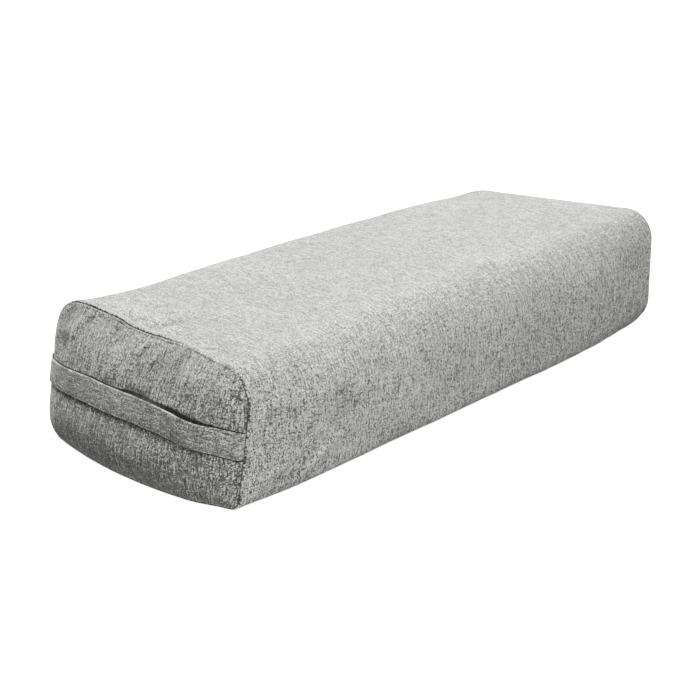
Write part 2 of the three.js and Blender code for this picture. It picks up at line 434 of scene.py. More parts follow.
def distances(line: Array) -> Array:
    """How far along a line of points each one lies from the first."""
    steps = np.linalg.norm(np.diff(line, axis=0), axis=-1)
    return np.concatenate([[0.0], np.cumsum(steps)])


def unit(vectors: Array) -> Array:
    """The same vectors, one unit long."""
    return vectors / np.maximum(np.linalg.norm(vectors, axis=-1, keepdims=True), 1e-12)


def surface_normals(points: Array, closed: bool) -> Array:
    """Directions square to a grid of points, away from the side that its rows turn round.

    Args:
        points: the grid, row by row.
        closed: whether each row closes into a ring.

    Returns:
        One unit vector for each point.
    """
    down = np.gradient(points, axis=0)
    if closed:
        along = np.roll(points, -1, axis=1) - np.roll(points, 1, axis=1)
    else:
        along = np.gradient(points, axis=1)
    return unit(np.cross(along, down))


def place_object(name: str, data: bpy.types.ID) -> bpy.types.Object:
    """Puts an object into the scene.

    Args:
        name: the object's name.
        data: its mesh, light or camera.

    Returns:
        The object.
    """
    made = bpy.data.objects.new(name, data)
    bpy.context.scene.collection.objects.link(made)
    return made


class ClothMesh:
    """One piece's points, faces, cloth map and attributes, gathered grid by grid."""

    def __init__(self, name: str, shift: float) -> None:
        """Starts an empty piece.

        Args:
            name: the piece's name.
            shift: how far the frame lies from the drawn form along X, in millimetres.
        """
        self.name = name
        self.shift = np.array([shift, 0.0, 0.0])
        self.points: list[Array] = []
        self.values: dict[str, list[Array]] = {name: [] for name in ATTRIBUTES}
        self.faces: list[Array] = []
        self.maps: list[Array] = []
        self.count = 0

    def add(self, points: Array, **values: Array) -> Array:
        """Adds points.

        Args:
            points: points with the last axis x, y and z, in millimetres.
            values: attributes of the points by name, 0 where none are given.

        Returns:
            The number of each point, in the same layout.
        """
        numbers = self.count + np.arange(points[..., 0].size).reshape(points.shape[:-1])
        self.points.append((points + self.shift).reshape(-1, 3))
        for name, kept in self.values.items():
            kept.append(np.broadcast_to(values.get(name, 0.0), points.shape[:-1]).ravel())
        self.count += numbers.size
        return numbers

    def cover(self, numbers: Array, cloth: Array, flip: bool = False) -> None:
        """Adds faces over a grid of point numbers.

        Args:
            numbers: point numbers, row by row.
            cloth: cloth map of each point, in millimetres.
            flip: whether the faces look the other way.
        """
        order = [(0, 0), (0, 1), (1, 1), (1, 0)]
        if flip:
            order.reverse()
        rows, columns = numbers.shape
        corner = lambda grid, i, j: grid[i : rows - 1 + i, j : columns - 1 + j]
        self.faces.append(np.stack([corner(numbers, i, j) for i, j in order], -1).reshape(-1, 4))
        self.maps.append(np.stack([corner(cloth, i, j) for i, j in order], -2).reshape(-1, 2))

    def build(self) -> bpy.types.Object:
        """Makes the mesh, in metres, and its object.

        Returns:
            The object, at the origin.
        """
        mesh = bpy.data.meshes.new(self.name)
        points, faces = np.concatenate(self.points) * MM, np.concatenate(self.faces)
        mesh.vertices.add(len(points))
        mesh.vertices.foreach_set("co", points.astype(np.float32).ravel())
        mesh.loops.add(faces.size)
        mesh.loops.foreach_set("vertex_index", faces.astype(np.int32).ravel())
        mesh.polygons.add(len(faces))
        mesh.polygons.foreach_set("loop_start", np.arange(0, faces.size, 4, dtype=np.int32))
        mesh.update(calc_edges=True)
        layer = mesh.uv_layers.new(name=CLOTH_MAP)
        layer.uv.foreach_set("vector", (np.concatenate(self.maps) * MM).astype(np.float32).ravel())
        for name, values in self.values.items():
            layer = mesh.attributes.new(name, "FLOAT", "POINT")
            layer.data.foreach_set("value", np.concatenate(values).astype(np.float32))
        mesh.polygons.foreach_set("use_smooth", np.ones(len(faces), bool))
        mesh.validate()
        return place_object(self.name, mesh)


@dataclass(frozen=True)
class Crease:
    """A soft fold on a surface, from one place to another, raised or sunk."""

    start: tuple[float, float]
    end: tuple[float, float]
    half_width: float
    height: float
    bow: float = 0.0

    def height_at(self, across: Array, up: Array) -> Array:
        """How far the fold lifts the surface at places given in its own two measures.

        Args:
            across: first measure of each place.
            up: second measure of each place.

        Returns:
            The lift, in millimetres.
        """
        run = np.subtract(self.end, self.start)
        length = math.hypot(*run)
        along = ((across - self.start[0]) * run[0] + (up - self.start[1]) * run[1]) / length**2
        aside = ((across - self.start[0]) * run[1] - (up - self.start[1]) * run[0]) / length
        aside = aside - 4 * self.bow * along * (1 - along)
        ends = fade(along, -0.15, 0.3) * fade(along, 1.15, 0.7)
        return self.height * bump(aside, self.half_width) * ends


@dataclass(frozen=True)
class Relief:
    """Folds, hollows and unevenness of one surface of filled cloth, over its own two measures."""

    creases: tuple[Crease, ...]
    lump: float
    lump_size: float
    ripple: float
    ripple_size: float
    seed: int

    def height_at(self, across: Array, up: Array) -> Array:
        """How far the surface is lifted at each place.

        Args:
            across: first measure of each place, in millimetres.
            up: second measure of each place, in millimetres.

        Returns:
            The lift, in millimetres.
        """
        noise = lambda size, seed: soft_noise(across / size, up / size, seed)
        lumps = self.lump * noise(self.lump_size, self.seed)
        ripples = self.ripple * noise(self.ripple_size, self.seed + 1)
        return lumps + ripples + sum((crease.height_at(across, up) for crease in self.creases), 0.0)


# Each crease: where it starts and ends across and up its panel from the middle, half width and height
NEAR_PANEL_RELIEF = Relief(
    creases=(
        Crease((86, 56), (87, 32), 4, 1.8),
        Crease((76, 60), (73, 50), 4, -1.6),
        Crease((52, 50), (36, 50), 6, 0.9),
        Crease((40, 62), (38, 50), 3.5, -1.5),
        Crease((31, 48), (22, 17), 7, 2),
        Crease((8, 48), (-4, 24), 8, -1.4),
        Crease((-12, 62), (7, 40), 2.4, 1.3, bow=-4.5),
        Crease((-28, 60), (-14, 34), 3, 1, bow=-2.5),
        Crease((-53, 60), (-44, 36), 6, -1),
        Crease((-66, 56), (-62, 30), 5, 1),
        Crease((-2, 44), (-66, 36), 19, -2.2),
        Crease((118, 32), (90, 24), 10, -2.2),
        Crease((5, 13.5), (-30, 14.5), 5.5, -1.8),
        Crease((-46, 10), (-100, 8), 3.4, -2),
        Crease((114, 58), (102, 40), 14, -1.4),
        Crease((-104, 50), (-116, 28), 7, 1),
        Crease((-112, 37.5), (-130, 40), 2.4, -2.4),
        Crease((121, 40), (119, -34), 12, 1.2),
    ),
    lump=0.6, lump_size=30.0, ripple=0.3, ripple_size=12.0, seed=3,
)
FAR_PANEL_RELIEF = Relief(
    creases=(
        Crease((-70, 56), (-60, 20), 5, 1.6, bow=3),
        Crease((-20, 60), (-26, 26), 5, -1.6),
        Crease((40, 58), (30, 24), 4, 1.5, bow=-4),
        Crease((84, 50), (70, 28), 5, -1.5),
        Crease((60, -52), (52, -26), 6, 1.2),
    ),
    lump=0.9, lump_size=34.0, ripple=0.4, ripple_size=13.0, seed=9,
)
# On the wrap, the two measures run from the near seam along it, and round it from the bottom front corner
WRAP_RELIEF = Relief(
    creases=(
        Crease((7, 432), (8, 516), 6, -2.4),
        Crease((21, 452), (22, 512), 7, 2.2),
        Crease((2, 519), (48, 526), 5, -3),
        Crease((6, 534), (22, 540), 7, 2.6),
        Crease((4, 560), (26, 572), 6, -1.8),
        Crease((26, 675), (4, 694), 2.2, -2.2),
        Crease((30, 684), (10, 699), 2.8, 2),
        Crease((40, 672), (20, 688), 2.2, -1.5),
        Crease((2, 702), (16, 706), 8, 2),
        Crease((3, 722), (20, 728), 5, -1.6),
        Crease((8, 776), (50, 752), 4, 1.8, bow=3),
        Crease((56, 774), (106, 741), 3.4, 2.2, bow=2),
        Crease((46, 772), (60, 765), 2.6, -2.2),
        Crease((80, 774), (94, 764), 2.4, -1.8),
        Crease((84, 694), (118, 730), 16, -2.4),
        Crease((117, 706), (122, 722), 2, -1.2),
        Crease((590, 470), (560, 486), 5, -1.6),
        Crease((598, 600), (566, 612), 5, 1.6),
        Crease((598, 310), (560, 330), 6, -1.8),
        Crease((6, 300), (44, 322), 6, -2),
        Crease((6, 348), (40, 338), 5, 1.8),
    ),
    lump=0.8, lump_size=46.0, ripple=0.3, ripple_size=15.0, seed=5,
)


class NodeWriter:
    """Adds nodes to a tree, each input given as a socket to link or a value to set."""

    def __init__(self, tree: bpy.types.NodeTree) -> None:
        """Keeps the tree that the nodes go into."""
        self.tree = tree

    def add(self, kind: str, inputs: dict[Any, Any] | None = None, **settings: Any) -> bpy.types.Node:
        """Adds one node.

        Args:
            kind: the node's type name.
            inputs: sockets or values by input name or number.
            settings: the node's own settings.

        Returns:
            The node.
        """
        node = self.tree.nodes.new(kind)
        for setting, value in settings.items():
            setattr(node, setting, value)
        for name, value in (inputs or {}).items():
            if isinstance(value, Socket):
                self.tree.links.new(value, node.inputs[name])
            else:
                node.inputs[name].default_value = value
        return node

    def math(self, operation: str, *values: Any, clamp: bool = False) -> Socket:
        """A Math node's result from up to three sockets or numbers."""
        node = self.add("ShaderNodeMath", dict(enumerate(values)), operation=operation, use_clamp=clamp)
        return node.outputs[0]

    def vector(self, x: Any, y: Any, z: Any) -> Socket:
        """A vector from three sockets or numbers."""
        return self.add("ShaderNodeCombineXYZ", {"X": x, "Y": y, "Z": z}).outputs[0]

    def vector_math(self, operation: str, vector: Any, other: Any) -> Socket:
        """A Vector Math node's result from a vector and a second one, or its scale."""
        second = "Scale" if operation == "SCALE" else 1
        return self.add("ShaderNodeVectorMath", {0: vector, second: other}, operation=operation).outputs[0]

    def smooth_step(self, value: Any, start: float, end: float, top: float = 1.0) -> Socket:
        """0 where the value is at start, top where it is at end, and an even turn between."""
        values = {"Value": value, "From Min": start, "From Max": end, "To Max": top}
        return self.add("ShaderNodeMapRange", values, interpolation_type="SMOOTHSTEP").outputs["Result"]

    def two_colours(self, share: Any, places: tuple[float, float], colours: tuple[Any, Any]) -> Socket:
        """A colour that runs from the first to the second between two places of a share.

        Args:
            share: the share's socket.
            places: the share at which each colour stands.
            colours: the two colours, without alpha.

        Returns:
            The colour's socket.
        """
        ramp = self.add("ShaderNodeValToRGB", {"Fac": share})
        for stop, place, colour in zip(ramp.color_ramp.elements, places, colours):
            stop.position, stop.color = place, (*colour, 1.0)
        return ramp.outputs[0]

    def grain(self, height: Any, strength: float, distance: float) -> Socket:
        """The normal of a surface that a height roughens."""
        values = {"Height": height, "Strength": strength, "Distance": distance}
        return self.add("ShaderNodeBump", values).outputs[0]

    def surface(self, inputs: dict[str, Any]) -> None:
        """Adds the material's surface, from a Principled node's inputs."""
        shader = self.add("ShaderNodeBsdfPrincipled", inputs)
        self.add("ShaderNodeOutputMaterial", {"Surface": shader.outputs[0]})

    def noise(self, vector: Any, scale: float, detail: float) -> Socket:
        """A noise value from 0 to 1, mostly near a half."""
        values = {"Vector": vector, "Scale": scale, "Detail": detail, "Roughness": 0.55}
        return self.add("ShaderNodeTexNoise", values).outputs[0]


def start_group(name: str, kind: str, inputs: dict, outputs: dict[str, str]) -> bpy.types.NodeTree:
    """Makes a node group with its sockets.

    Args:
        name: the group's name.
        kind: the tree's type name.
        inputs: the type and the value of each input by name, no value where it has none of its own.
        outputs: the type of each output by name.

    Returns:
        The group, with no nodes yet.
    """
    tree = bpy.data.node_groups.new(name, kind)
    for label, (socket_kind, value) in inputs.items():
        socket = tree.interface.new_socket(label, in_out="INPUT", socket_type="NodeSocket" + socket_kind)
        if value is not None:
            socket.default_value = value
    for label, socket_kind in outputs.items():
        tree.interface.new_socket(label, in_out="OUTPUT", socket_type="NodeSocket" + socket_kind)
    return tree


def start_material(name: str) -> tuple[bpy.types.Material, NodeWriter]:
    """Makes an empty material.

    Args:
        name: the material's name.

    Returns:
        The material and the writer on its tree.
    """
    made = bpy.data.materials.new(name)
    made.use_nodes = True
    made.node_tree.nodes.clear()
    return made, NodeWriter(made.node_tree)


class WeaveGroup:
    """A shader node group: plain weave of heathered yarns, with long slubs and fine fibres."""

    SPREAD = 3.71
    WANDER_SCALE = 60.0
    SHOW_THROUGH, SHOW_OVER = 0.4, 0.5
    TONE_STRETCH = 4.0
    LIGHT_SLUB, DARK_SLUB = (0.55, 0.66), (0.44, 0.33)
    HEIGHTS = {"yarn": 0.5, "slub": 0.35, "tone": 0.25, "fleck": 0.4}
    SIZES = {
        "Yarn Width": 0.0007,
        "Streak Length": 0.0019,
        "Slub Length": 0.013,
        "Cross Slub": 0.4,
        "Waviness": 0.0008,
    }
    OUTPUTS = ("Yarn Tone", "Fleck Tone", "Slub Tone", "Height")

    def __init__(self) -> None:
        """Builds the group once."""
        inputs = {"Vector": ("Vector", None)} | {name: ("Float", size) for name, size in self.SIZES.items()}
        outputs = dict.fromkeys(self.OUTPUTS, "Float")
        self.tree = start_group("heathered_plain_weave", "ShaderNodeTree", inputs, outputs)
        self.write(NodeWriter(self.tree))

    def write(self, nodes: NodeWriter) -> None:
        """Fills the tree.

        Args:
            nodes: the writer on the group's tree.
        """
        given = nodes.add("NodeGroupInput").outputs
        wander_inputs = {"Vector": given["Vector"], "Scale": self.WANDER_SCALE, "Detail": 2.0}
        wander = nodes.add("ShaderNodeTexNoise", wander_inputs)
        centred = nodes.vector_math("SUBTRACT", wander.outputs["Color"], (0.5, 0.5, 0.5))
        drift = nodes.vector_math("SCALE", centred, given["Waviness"])
        bent = nodes.vector_math("ADD", given["Vector"], drift)
        place = nodes.add("ShaderNodeSeparateXYZ", {0: bent}).outputs
        x, y = place["X"], place["Y"]
        column, row = (nodes.math("DIVIDE", at, given["Yarn Width"]) for at in (x, y))
        column_number, row_number = nodes.math("FLOOR", column), nodes.math("FLOOR", row)
        numbers = (column_number, row_number)
        column_seed, row_seed = (nodes.math("MULTIPLY", number, self.SPREAD) for number in numbers)
        along_column, along_row = (nodes.math("DIVIDE", at, given["Streak Length"]) for at in (y, x))
        column_tone = nodes.noise(nodes.vector(column_seed, along_column, 0.0), 1.0, 1.0)
        row_tone = nodes.noise(nodes.vector(along_row, row_seed, 7.3), 1.0, 1.0)
        over = nodes.math("FLOORED_MODULO", nodes.math("ADD", column_number, row_number), 2.0)
        arch = lambda at: nodes.math("SINE", nodes.math("MULTIPLY", nodes.math("FRACT", at), math.pi))
        blend = lambda a, b, share: nodes.add(
            "ShaderNodeMix", {0: share, 2: a, 3: b}, data_type="FLOAT"
        ).outputs[0]
        main_share = nodes.math("MULTIPLY_ADD", over, self.SHOW_OVER, self.SHOW_THROUGH)
        mixed_tone = blend(row_tone, column_tone, main_share)
        yarn_tone = nodes.math("MULTIPLY_ADD", mixed_tone, self.TONE_STRETCH, -self.TONE_STRETCH / 2)
        yarn_height = blend(arch(row), arch(column), over)
        main_slub = self.slub(nodes, column_seed, nodes.math("DIVIDE", y, given["Slub Length"]), 3.1)
        cross_slub = self.slub(nodes, row_seed, nodes.math("DIVIDE", x, given["Slub Length"]), 9.7)
        slub_tone = nodes.math("MULTIPLY_ADD", cross_slub, given["Cross Slub"], main_slub)
        crossing = nodes.vector(column_number, row_number, 0.0)
        fleck = nodes.add("ShaderNodeTexWhiteNoise", {"Vector": crossing}, noise_dimensions="3D")
        fleck_tone = nodes.math("SUBTRACT", fleck.outputs["Value"], 0.5)
        raised = {"yarn": yarn_height, "slub": main_slub, "tone": yarn_tone, "fleck": fleck_tone}
        height: Any = 0.0
        for part, share in self.HEIGHTS.items():
            height = nodes.math("MULTIPLY_ADD", raised[part], share, height)
        nodes.add("NodeGroupOutput", dict(zip(self.OUTPUTS, (yarn_tone, fleck_tone, slub_tone, height))))

    def slub(self, nodes: NodeWriter, seed: Any, along: Any, layer: float) -> Socket:
        """Long light and dark stretches of single yarns, from -1 to 1 and mostly 0.

        Args:
            nodes: the writer on the group's tree.
            seed: a socket that differs from yarn to yarn.
            along: place along the yarn, in slub lengths.
            layer: number that picks the noise.

        Returns:
            The socket of the stretches' tone.
        """
        wave = nodes.noise(nodes.vector(seed, along, layer), 1.0, 1.0)
        light, dark = (nodes.smooth_step(wave, *limits) for limits in (self.LIGHT_SLUB, self.DARK_SLUB))
        return nodes.math("SUBTRACT", light, dark)


@dataclass(frozen=True)
class ClothFinish:
    """The heathered cloth of one kind of piece.

    The painted seam shade and the painted strap shadow each give the attribute's value at which the
    darkening starts, the value at which it is full, and its depth.
    """

    name: str
    yarn_run: YarnRun
    tone: float
    tint: tuple[float, float, float] = (0.992, 1.0, 0.957)
    cool_tint: tuple[float, float, float] = (0.995, 0.996, 1.012)
    warm_tint: tuple[float, float, float] = (1.006, 1.006, 0.968)
    yarn_contrast: float = 1.25
    fleck_contrast: float = 1.65
    slub_contrast: float = 0.75
    patch_contrast: float = 0.16
    patch_scale: float = 26.0
    tint_scale: float = 90.0
    # How strongly a fold's height paints shade in hollows and light on raised folds
    fold_painted_shading: float = 0.1
    tone_shift: float = -0.2
    lightest: float = 0.96
    # Limits of the painted fold shade and light
    fold_painted_shading_range: tuple[float, float] = (0.65, 1.25)
    # Painted shade along the seams and painted shadow round the strap: where each starts, where it is full,
    # and its depth
    seam_shade: tuple[float, float, float] = (0.25, 0.95, 0.92)
    painted_strap_shadow: tuple[float, float, float] = (0.86, 1.0, 0.85)
    bump_distance: float = 0.00045
    roughness: float = 0.9
    fleck_roughness: float = 0.08
    sheen: float = 0.5

    def material(self, weave: WeaveGroup) -> bpy.types.Material:
        """Builds the material.

        Args:
            weave: the shared weave group.

        Returns:
            The material, which reads the piece's cloth map and attributes.
        """
        made, nodes = start_material(self.name)
        cloth = nodes.add("ShaderNodeUVMap", uv_map=CLOTH_MAP).outputs[0]
        turn = (0.0, 0.0, self.yarn_run.value)
        turned = nodes.add("ShaderNodeMapping", {"Vector": cloth, "Rotation": turn})
        pattern = nodes.add("ShaderNodeGroup", node_tree=weave.tree)
        made.node_tree.links.new(turned.outputs[0], pattern.inputs["Vector"])
        for name, value in WeaveGroup.SIZES.items():
            pattern.inputs[name].default_value = value
        fleck = pattern.outputs["Fleck Tone"]
        nodes.surface({
            "Base Color": self.tinted(nodes, self.summed_tone(nodes, pattern, cloth), cloth),
            "Roughness": nodes.math("MULTIPLY_ADD", fleck, self.fleck_roughness, self.roughness),
            "Normal": nodes.grain(pattern.outputs["Height"], 1.0, self.bump_distance),
            "Sheen Weight": self.sheen, "Sheen Roughness": 0.45, "Specular IOR Level": 0.25,
        })
        return made

    def summed_tone(self, nodes: NodeWriter, pattern: bpy.types.Node, cloth: Any) -> Socket:
        """The cloth's lightness from its yarns, slubs, fibres and dye patches, with painted shade along the
        seams, painted shadow round the strap, and painted shade and light on the folds.

        Args:
            nodes: the writer on the material's tree.
            pattern: the weave group's node.
            cloth: the cloth map's socket.

        Returns:
            A factor of the cloth's mean tone.
        """
        total: Any = self.tone_shift
        contrasts = (self.yarn_contrast, self.fleck_contrast, self.slub_contrast)
        for name, contrast in zip(WeaveGroup.OUTPUTS, contrasts):
            total = nodes.math("MULTIPLY_ADD", pattern.outputs[name], contrast, total)
        patches = nodes.math("SUBTRACT", nodes.noise(cloth, self.patch_scale, 3.0), 0.5)
        total = nodes.math("MULTIPLY_ADD", patches, self.patch_contrast, total)
        total = nodes.math("MINIMUM", nodes.math("EXPONENT", total), self.lightest / self.tone)
        read = lambda name: nodes.add("ShaderNodeAttribute", attribute_name=name).outputs["Fac"]
        seam, closeness, fold = (read(name) for name in ATTRIBUTES)
        # Painted shade along the seams and painted shadow on the panel round the strap
        for value, limits in ((seam, self.seam_shade), (closeness, self.painted_strap_shadow)):
            shade = nodes.smooth_step(value, *limits)
            total = nodes.math("MULTIPLY", total, nodes.math("SUBTRACT", 1.0, shade))
        # Painted shade in hollows and painted light on raised folds, from the folds' height
        gain = nodes.math("MULTIPLY_ADD", fold, self.fold_painted_shading, 1.0)
        gain = nodes.math("MINIMUM", nodes.math("MAXIMUM", gain, self.fold_painted_shading_range[0]), self.fold_painted_shading_range[1])
        return nodes.math("MULTIPLY", total, gain)

    def tinted(self, nodes: NodeWriter, tone: Any, cloth: Any) -> Socket:
        """The cloth's colour: its tone with a tint that drifts a little.

        Args:
            nodes: the writer on the material's tree.
            tone: the lightness factor's socket.
            cloth: the cloth map's socket.

        Returns:
            The colour's socket.
        """
        tints = (self.cool_tint, self.warm_tint)
        colours = tuple(tuple(self.tone * a * b for a, b in zip(self.tint, tint)) for tint in tints)
        drifting = nodes.two_colours(nodes.noise(cloth, self.tint_scale, 2.0), (0.3, 0.7), colours)
        return nodes.vector_math("SCALE", drifting, tone)


@dataclass(frozen=True)
class ThreadFinish:
    """Plain sewing thread with a fine twist."""

    name: str = "sewing_thread"
    colour: tuple[float, float, float] = (0.15, 0.15, 0.145)
    roughness: float = 0.6
    twist_scale: float = 2600.0
    twist_depth: float = 0.0002
    twist_tones: tuple[float, float] = (0.7, 1.25)

    def material(self) -> bpy.types.Material:
        """Builds the material.

        Returns:
            The material, which reads Object coordinates.
        """
        made, nodes = start_material(self.name)
        twist = nodes.noise(nodes.add("ShaderNodeTexCoord").outputs["Object"], self.twist_scale, 1.0)
        colours = tuple(tuple(gain * part for part in self.colour) for gain in self.twist_tones)
        nodes.surface({
            "Base Color": nodes.two_colours(twist, (0.35, 0.65), colours),
            "Roughness": self.roughness,
            "Normal": nodes.grain(twist, 0.6, self.twist_depth),
        })
        return made


def finish_piece(piece: bpy.types.Object, material: bpy.types.Material, slot: str, *nodes: str) -> None:
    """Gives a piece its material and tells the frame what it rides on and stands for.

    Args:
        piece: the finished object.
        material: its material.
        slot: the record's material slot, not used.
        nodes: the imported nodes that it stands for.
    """
    piece.data.materials.clear()
    piece.data.materials.append(material)
    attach(piece, "root")
    if nodes:
        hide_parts(*nodes)
    LOG.info("%s: %d faces", piece.name, len(piece.data.polygons))


class SewnPiece:
    """A piece that is built as one mesh, dressed in its cloth and told to the frame."""

    node: str

    def mesh(self) -> ClothMesh:
        """The piece's mesh, which each kind of piece makes its own way."""
        raise NotImplementedError

    def declare(self, piece: bpy.types.Object) -> None:
        """A step after building, which each kind of piece gives its own way."""
        raise NotImplementedError

    def build(self, finish: ClothFinish, weave: WeaveGroup) -> bpy.types.Object:
        """Makes the piece and dresses it.

        Args:
            finish: the cloth's finish, which has the name of the record's material slot.
            weave: the shared weave group.

        Returns:
            The finished object.
        """
        piece = self.mesh().build()
        finish_piece(piece, finish.material(weave), finish.name, self.node)
        self.declare(piece)
        return piece


@dataclass
class FilledWrap(SewnPiece):
    """The filled body: one wrap of cloth round the filling, closed at both ends under the panels."""

    form: CushionForm
    roll: SeamRoll
    shift: float
    node: str = "filled_wrap"
    patch: Patch = Patch(rows=52, columns=108)
    first_step: float = 0.9
    last_step: float = 3.1
    step_growth: float = 1.16
    map_break: int = 54
    relief: Relief = WRAP_RELIEF
    relief_start: float = 9.0
    relief_heights: tuple[float, float] = (1.0, 9.0)

    def stations(self) -> tuple[Array, Array]:
        """Where the rows of points lie, from an end seam to the middle.

        Returns:
            Their insets from the seam, and how far each lies inside the outer surface.
        """
        rise, run = self.roll.profile()
        insets, step = [run[-1]], self.first_step
        half = self.form.seam_length / 2
        while insets[-1] + step < half:
            insets.append(insets[-1] + step)
            step = min(step * self.step_growth, self.last_step)
        body = np.array(insets[1:])
        body = run[-1] + (body - run[-1]) * (half - run[-1]) / (body[-1] - run[-1])
        return np.concatenate([run, body]), np.concatenate([self.roll.depth - rise, np.zeros(len(body))])

    def surface(self) -> tuple[Array, Array, Array, Array]:
        """All rows of points from the near seam to the far one.

        Returns:
            The points, their places along the cloth, their painted seam shade and the height of their
            folds, which also paints shade in hollows and light on raised folds.
        """
        inset, tuck = self.stations()
        places = self.patch.places()
        near = self.form.wrap(NEAR, inset[:, None], places[None], tuck[:, None])
        far = self.form.wrap(FAR, inset[:-1, None], places[None], tuck[:-1, None])[::-1]
        half = self.form.seam_length / 2
        along = np.concatenate([inset - half, (half - inset[:-1])[::-1]])
        # Painted seam shade: full at the seam, none past the roll
        shade = np.concatenate([tuck, tuck[:-1][::-1]]) / self.roll.depth
        shares = np.where(along[:, None] < 0, NEAR.seam_share(places)[None], FAR.seam_share(places)[None])
        points = np.concatenate([near, far])
        from_seam = np.minimum(along + half, half - along)
        lift = self.relief.height_at((along + half)[:, None], self.round_section(places)[None])
        lift = lift * fade(from_seam, 0.0, self.relief_start)[:, None]
        lift = lift * fade(points[..., 2], *self.relief_heights)
        points = points + lift[..., None] * surface_normals(points, closed=True)
        return points, along, shade[:, None] * shares**2, lift

    def round_section(self, places: Array) -> Array:
        """Distance round the section from the bottom front corner, at places from 0 to 4."""
        wide, high = self.form.width, self.form.height
        return np.interp(places, range(5), [0.0, wide, wide + high, 2 * wide + high, 2 * (wide + high)])

    def mesh(self) -> ClothMesh:
        """Gathers the piece's mesh.

        Returns:
            The mesh, ready to build.
        """
        points, along, shade, fold = self.surface()
        mesh = ClothMesh("cushion_wrap", self.shift)
        # Painted shade along the seams, and painted shade and light on the folds from their height
        numbers = mesh.add(points, seam_shade=fade(shade, 0.0, 1.0), fold_height=fold)
        middle = np.roll(points[len(points) // 2], -self.map_break, axis=0)
        round_it = distances(np.concatenate([middle, middle[:1]]))
        cloth = np.stack(np.broadcast_arrays(along[:, None], round_it[None]), -1)
        mesh.cover(closed(np.roll(numbers, -self.map_break, axis=1)), cloth, flip=True)
        for end, row, relief in ((NEAR, 0, NEAR_PANEL_RELIEF), (FAR, -1, FAR_PANEL_RELIEF)):
            self.close(mesh, end, points[row], numbers[row], relief)
        return mesh

    def declare(self, piece: bpy.types.Object) -> None:
        """Takes no step: nothing is told to the frame about the wrap."""

    def close(self, mesh: ClothMesh, end: EndShape, ring: Array, numbers: Array, relief: Relief) -> None:
        """Closes one end under its panel.

        Args:
            mesh: the piece so far.
            end: the end to close.
            ring: points of the end's last row.
            numbers: their point numbers.
            relief: the panel's folds, which the filling under it follows.
        """
        across, up = self.patch.grid()
        points = self.patch.span(ring)
        lift = self.form.bulge(end, across, up, points[..., 2]) + panel_lift(end, relief, across, up)
        points[..., 0] += end.side * lift
        grid = np.full(across.shape, -1)
        grid[1:-1, 1:-1] = mesh.add(points[1:-1, 1:-1])
        grid[self.patch.rim()] = numbers
        mesh.cover(grid, points[..., 1:], flip=end is NEAR)


def panel_lift(end: EndShape, relief: Relief, across: Array, up: Array) -> Array:
    """How far an end's relief lifts it, with none left at the seam.

    Args:
        end: the end.
        relief: its folds and unevenness.
        across: place across the panel, from -1 to 1.
        up: place up the panel, from -1 to 1.

    Returns:
        The lift, in millimetres.
    """
    lift = relief.height_at(across * end.width / 2, up * end.height / 2)
    across_fade, up_fade = PANEL_SEAM_FADE
    return lift * fade(1 - np.abs(across), 0.0, across_fade) * fade(1 - np.abs(up), 0.0, up_fade)


@dataclass(frozen=True)
class StrapLine:
    """Where the strap lies over its panel: heights of its two edges, from -1 to 1, at places along it."""

    places: tuple[float, ...] = (-1.0, -0.85, -0.65, -0.4, -0.1, 0.2, 0.5, 0.75, 1.0)
    upper: tuple[float, ...] = (0.165, 0.145, 0.162, 0.212, 0.23, 0.23, 0.19, 0.15, 0.15)
    lower: tuple[float, ...] = (-0.248, -0.225, -0.184, -0.139, -0.111, -0.114, -0.137, -0.164, -0.2)
    turns: int = 6
    # reach and the settings after it shape the painted shadow on the panel round the strap's edges
    reach: float = 6.0
    upper_overlap: float = 0.9
    lower_gap: float = 1.2
    gap_loss: float = 0.45
    slack_start: float = -0.2
    slack_end: float = 0.3

    def edges(self, along: Array) -> tuple[Array, Array]:
        """Heights of the upper and the lower edge, from -1 to 1, by a smooth curve near the places' own."""
        upper, lower = (np.polyfit(self.places, levels, self.turns) for levels in (self.upper, self.lower))
        return np.polyval(upper, along), np.polyval(lower, along)

    def closeness(self, across: Array, up: Array, height: float) -> Array:
        """How close places of the panel are to the strap over it, which sets the painted shadow round
        the strap's edges.

        Args:
            across: place across the panel, from -1 to 1.
            up: place up the panel, from -1 to 1.
            height: the panel's height, in millimetres.

        Returns:
            0 far from the strap, 1 at its edges and more under it.
        """
        upper, lower = self.edges(across)
        slack = fade(across, self.slack_start, self.slack_end) * fade(1 - across, 0.04, 0.16)
        above = (up - upper) * height / 2 + self.upper_overlap * slack
        gap = self.lower_gap * (1 - self.gap_loss * fade(across, 0.2, 0.8))
        outside = np.maximum(above, (lower - up) * height / 2 - gap)
        return np.clip(1 - outside / self.reach, 0.0, 1.5)


